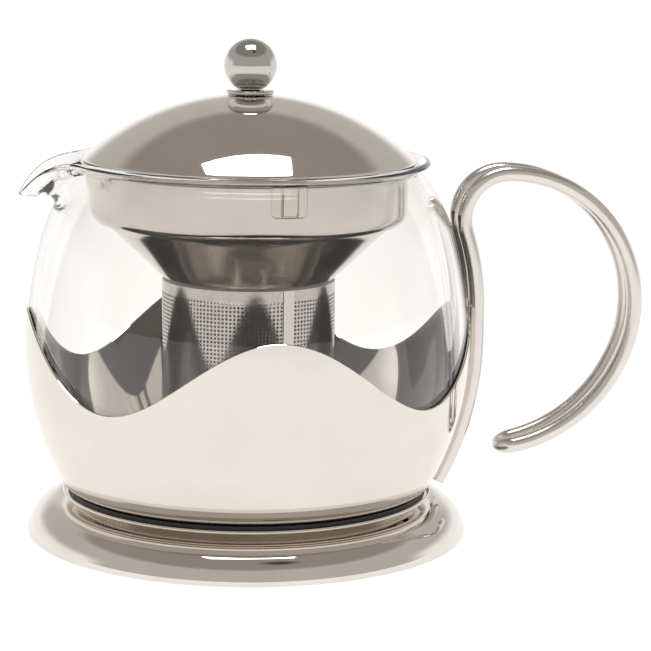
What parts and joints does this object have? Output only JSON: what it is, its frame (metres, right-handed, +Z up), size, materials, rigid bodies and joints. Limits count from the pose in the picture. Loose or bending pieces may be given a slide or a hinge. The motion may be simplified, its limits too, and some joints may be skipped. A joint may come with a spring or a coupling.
{
  "type": "teapot infuser",
  "caption": "Clear glass teapot with a lift-out perforated steel infuser, domed steel lid with ball knob, wavy polished steel cup, bowed wire handle and round spun steel foot.",
  "frame": {"origin": "the pot's axis where it meets the table, on the underside of the base disc", "axes": "+X towards the handle (the pouring beak is on -X), +Z up along the pot's axis"},
  "size_m": [0.1865, 0.1318, 0.146],
  "materials": {
    "mirror_steel": "mirror-polished stainless steel",
    "bright_sheet": "bright stainless sheet with faint spinning lines",
    "perforated_sheet": "fine perforated stainless sheet",
    "satin_steel": "satin-polished stainless rod and sheet",
    "fastener_steel": "plain stainless fasteners",
    "clear_glass": "clear blown borosilicate glass",
    "black_silicone": "matt black silicone"
  },
  "bodies": {
    "pot": {"foot_shell": "mirror_steel", "base_disc": "satin_steel", "seat_ring": "black_silicone", "foot_screw": "fastener_steel", "foot_washer": "fastener_steel", "foot_nut": "fastener_steel", "wave_cup": "mirror_steel", "glass_pot": "clear_glass", "handle_rod": "satin_steel"},
    "infuser": {"infuser_funnel": "bright_sheet", "basket_wall": "perforated_sheet", "basket_seam": "bright_sheet", "basket_floor": "perforated_sheet", "basket_hem": "bright_sheet", "grip_clips": "bright_sheet"},
    "lid": {"lid_dome": "mirror_steel", "lid_skirt": "bright_sheet", "knob_base": "mirror_steel", "knob_ball": "mirror_steel", "knob_washer": "fastener_steel", "knob_screw": "fastener_steel"}
  },
  "joints": [
    {"name": "infuser_lift", "type": "slide", "parent": "pot", "child": "infuser", "axis": [0, 0, 1], "range_m": [0, 0.09]},
    {"name": "lid_lift", "type": "slide", "parent": "infuser", "child": "lid", "axis": [0, 0, 1], "range_m": [0, 0.05]}
  ]
}
